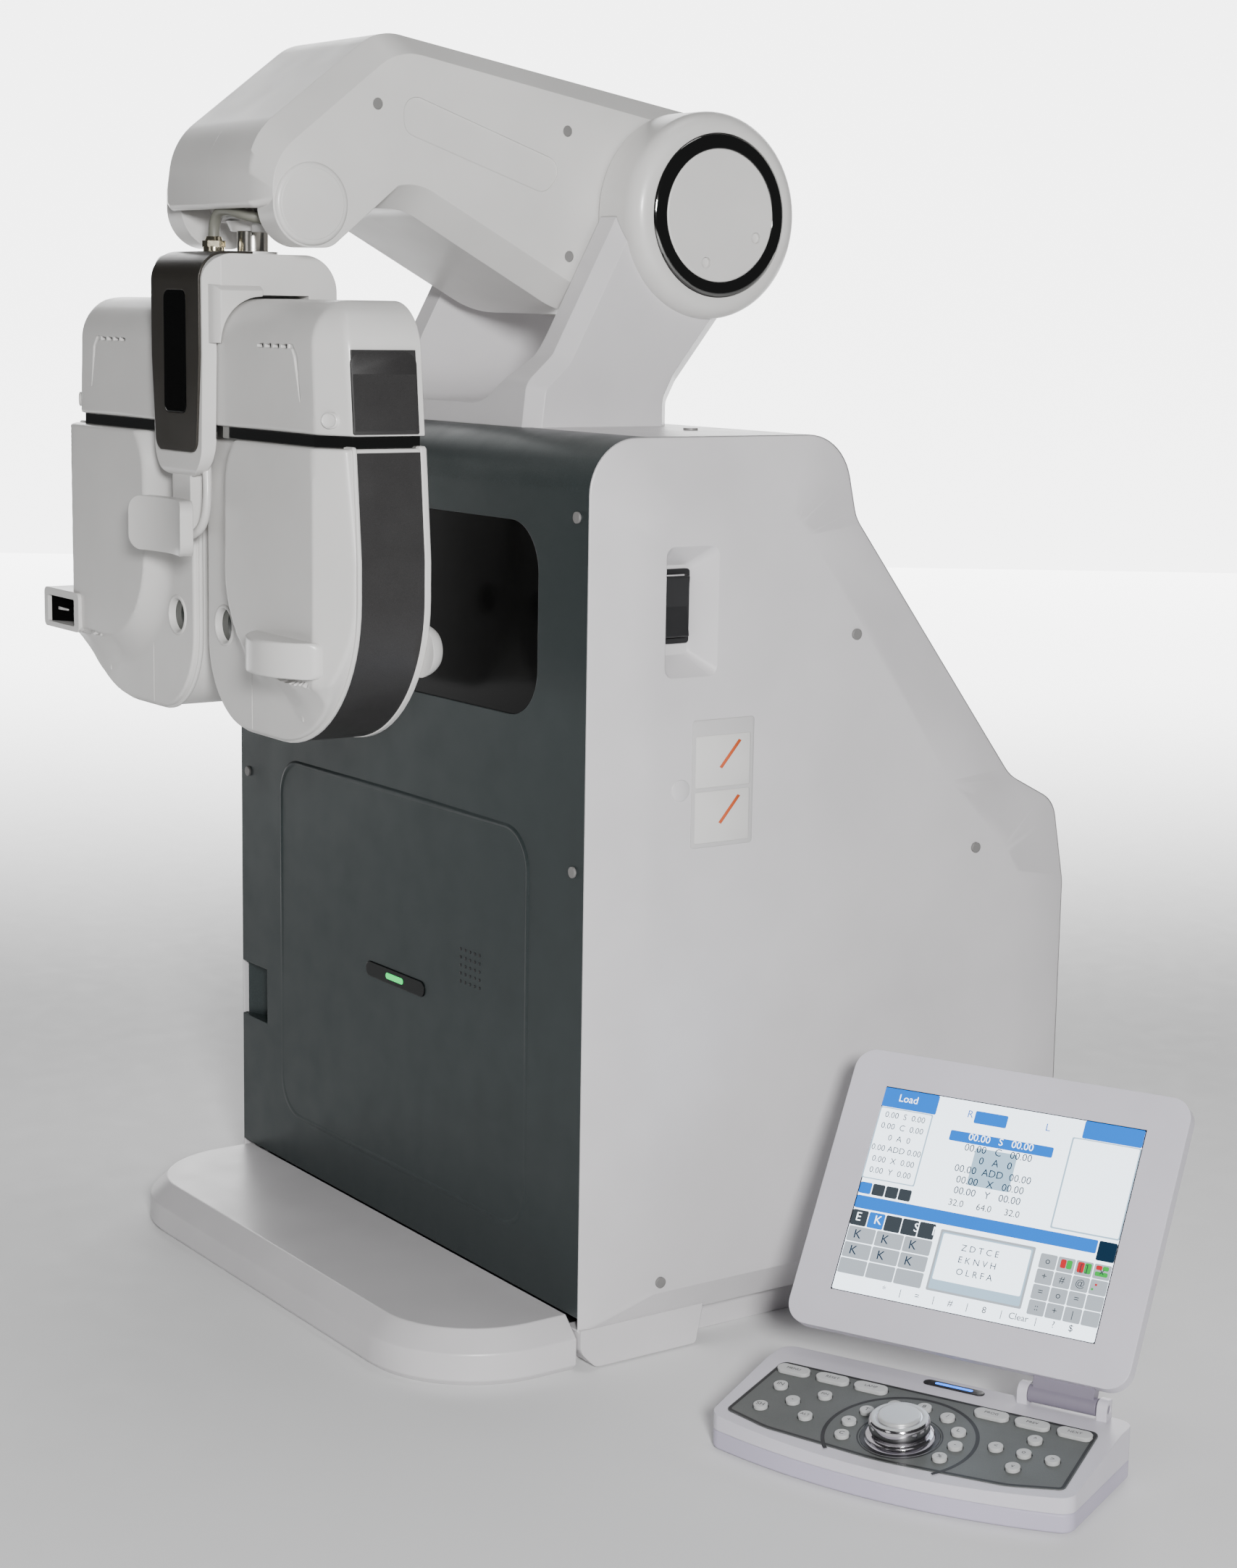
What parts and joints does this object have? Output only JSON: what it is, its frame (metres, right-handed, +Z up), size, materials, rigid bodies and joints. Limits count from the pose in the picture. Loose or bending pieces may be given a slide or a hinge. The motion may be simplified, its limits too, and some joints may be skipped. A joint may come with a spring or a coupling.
{
  "type": "phoropter",
  "caption": "Digital phoropter head on a lifting arm over a chart-projecting cabinet, with a separate screen and keypad console.",
  "frame": {"origin": "on the table plane, on the centre line, in the plane of the cabinet's front panel", "axes": "+X to the right seen from the patient's side, +Y into the cabinet, +Z up"},
  "size_m": [0.7759, 0.555, 0.7911],
  "materials": {
    "aluminium_frame": "milled",
    "black_glass": "polished",
    "black_plastic": "fine grain",
    "brass_plated": "nickel plated",
    "cable_jacket": "satin",
    "chromed": "polished",
    "console_lilac": "satin",
    "fascia_bronze": "satin",
    "foot_rubber": "matte",
    "graphite_panel": "satin metallic paint",
    "green_rocker": "translucent",
    "key_silver": "satin",
    "keypad_grey": "printed film",
    "lcd": "lit display",
    "mirror_face": "polished",
    "optic_glass": "coated",
    "screw_grey": "blackened",
    "side_band_grey": "fine grain",
    "status_pill": "polished with green light",
    "steel": "turned",
    "white_casting": "satin paint",
    "white_cover": "satin moulded",
    "white_shell": "satin moulded, fine grain"
  },
  "bodies": {
    "cabinet": {"base_plate": "white_casting", "rubber_feet": "foot_rubber", "chassis_frame": "aluminium_frame", "front_panel": "graphite_panel", "side_cover_right": "white_cover", "side_cover_left": "white_cover", "top_deck": "white_cover", "rear_cover": "white_cover", "chart_window": "black_glass", "status_light": "status_pill", "mode_switch_bezel": "black_plastic", "cabinet_screws": "screw_grey", "chart_mirror": "mirror_face", "yoke_bracket": "white_casting", "hub_covers": "white_shell", "hub_rings": "chromed", "hub_caps": "white_shell", "pivot_shaft": "steel"},
    "power_switch": {"power_rocker": "green_rocker"},
    "mode_switch": {"mode_rocker": "black_plastic"},
    "arm": {"arm_shell_right": "white_shell", "arm_shell_left": "white_shell", "arm_beam": "aluminium_frame", "nose_caps": "white_shell", "arm_screws": "screw_grey"},
    "swivel_mount": {"swivel_block": "white_shell", "swivel_shaft": "steel"},
    "head": {"bracket_body": "white_shell", "bracket_fascia": "fascia_bronze", "display_window": "black_glass", "pd_rail": "steel", "cable_gland": "brass_plated", "head_cable": "cable_jacket"},
    "rest": {"forehead_rest": "white_shell"},
    "unit_right": {"unit_housing_right": "white_shell", "lens_case_right": "white_shell", "lens_back_right": "white_shell", "side_band_right": "side_band_grey", "trim_strip_right": "chromed", "eye_glass_right": "optic_glass"},
    "unit_left": {"unit_housing_left": "white_shell", "lens_case_left": "white_shell", "lens_back_left": "white_shell", "side_band_left": "side_band_grey", "trim_strip_left": "chromed", "eye_glass_left": "optic_glass", "periscope_box": "white_shell"},
    "wheel_right": {"lens_wheel_right": "aluminium_frame"},
    "wheel_left": {"lens_wheel_left": "aluminium_frame"},
    "console": {"console_base": "console_lilac", "console_top": "console_lilac", "keypad_plate": "keypad_grey"},
    "left_key_bank": {"keys_left": "key_silver"},
    "dial_key_bank": {"keys_dial": "key_silver"},
    "right_key_bank": {"keys_right": "key_silver"},
    "dial": {"jog_dial": "key_silver"},
    "dial_cap": {"dial_button": "black_plastic"},
    "screen": {"screen_case": "console_lilac", "screen_panel": "lcd", "screen_hinge": "black_plastic"}
  },
  "joints": [
    {"name": "power_rocker_tilt", "type": "hinge", "parent": "cabinet", "child": "power_switch", "pos_m": [-0.1876, 0.011, 0.1465], "axis": [1, 0, 0], "range_deg": [-7, 7]},
    {"name": "mode_rocker_tilt", "type": "hinge", "parent": "cabinet", "child": "mode_switch", "pos_m": [0.2175, 0.061, 0.46], "axis": [0, 1, 0], "range_deg": [-6, 6]},
    {"name": "arm_lift", "type": "hinge", "parent": "cabinet", "child": "arm", "pos_m": [0, 0.167, 0.69], "axis": [-1, 0, 0], "range_deg": [-5, 28]},
    {"name": "level_link", "type": "hinge", "parent": "arm", "child": "swivel_mount", "pos_m": [0, -0.099, 0.689], "axis": [-1, 0, 0], "range_deg": [-28, 5]},
    {"name": "head_swivel", "type": "hinge", "parent": "swivel_mount", "child": "head", "pos_m": [0, -0.101, 0.66], "axis": [0, 0, 1], "range_deg": [-12, 12], "deforming": ["head_cable"]},
    {"name": "rest_slide", "type": "slide", "parent": "head", "child": "rest", "axis": [0, -1, 0], "range_m": [-0.002, 0.004]},
    {"name": "pd_slide_right", "type": "slide", "parent": "head", "child": "unit_right", "axis": [1, 0, 0], "range_m": [-0.007, 0.008]},
    {"name": "pd_slide_left", "type": "slide", "parent": "head", "child": "unit_left", "axis": [-1, 0, 0], "range_m": [-0.007, 0.008]},
    {"name": "lens_wheel_right_spin", "type": "hinge", "parent": "unit_right", "child": "wheel_right", "pos_m": [0.092, -0.1075, 0.4675], "axis": [0, 1, 0], "continuous": true},
    {"name": "lens_wheel_left_spin", "type": "hinge", "parent": "unit_left", "child": "wheel_left", "pos_m": [-0.092, -0.1075, 0.4675], "axis": [0, 1, 0], "continuous": true},
    {"name": "console_lift", "type": "slide", "parent": "cabinet", "child": "console", "axis": [0, 0, 1], "range_m": [0, 0.15]},
    {"name": "screen_tilt", "type": "hinge", "parent": "console", "child": "screen", "pos_m": [0.47398, 0.15372, 0.037], "axis": [0.9078, 0.4195, 0], "range_deg": [-15, 12]},
    {"name": "jog_dial_spin", "type": "hinge", "parent": "console", "child": "dial", "pos_m": [0.44107, 0.06284, 0.02394], "axis": [0.0573, -0.1241, 0.9906], "continuous": true},
    {"name": "dial_button_press", "type": "slide", "parent": "dial", "child": "dial_cap", "axis": [-0.0573, 0.1241, -0.9906], "range_m": [0, 0.0012], "stiffness_N_per_m": 400, "springref_m": -0.001},
    {"name": "left_keys_press", "type": "slide", "parent": "console", "child": "left_key_bank", "axis": [-0.0573, 0.1241, -0.9906], "range_m": [0, 0.0008], "stiffness_N_per_m": 900, "springref_m": -0.001},
    {"name": "dial_keys_press", "type": "slide", "parent": "console", "child": "dial_key_bank", "axis": [-0.0573, 0.1241, -0.9906], "range_m": [0, 0.0008], "stiffness_N_per_m": 900, "springref_m": -0.001},
    {"name": "right_keys_press", "type": "slide", "parent": "console", "child": "right_key_bank", "axis": [-0.0573, 0.1241, -0.9906], "range_m": [0, 0.0008], "stiffness_N_per_m": 900, "springref_m": -0.001}
  ],
  "couplings": [
    {"joint": "level_link", "follows": "arm_lift", "ratio": -1},
    {"joint": "pd_slide_left", "follows": "pd_slide_right", "ratio": 1}
  ]
}
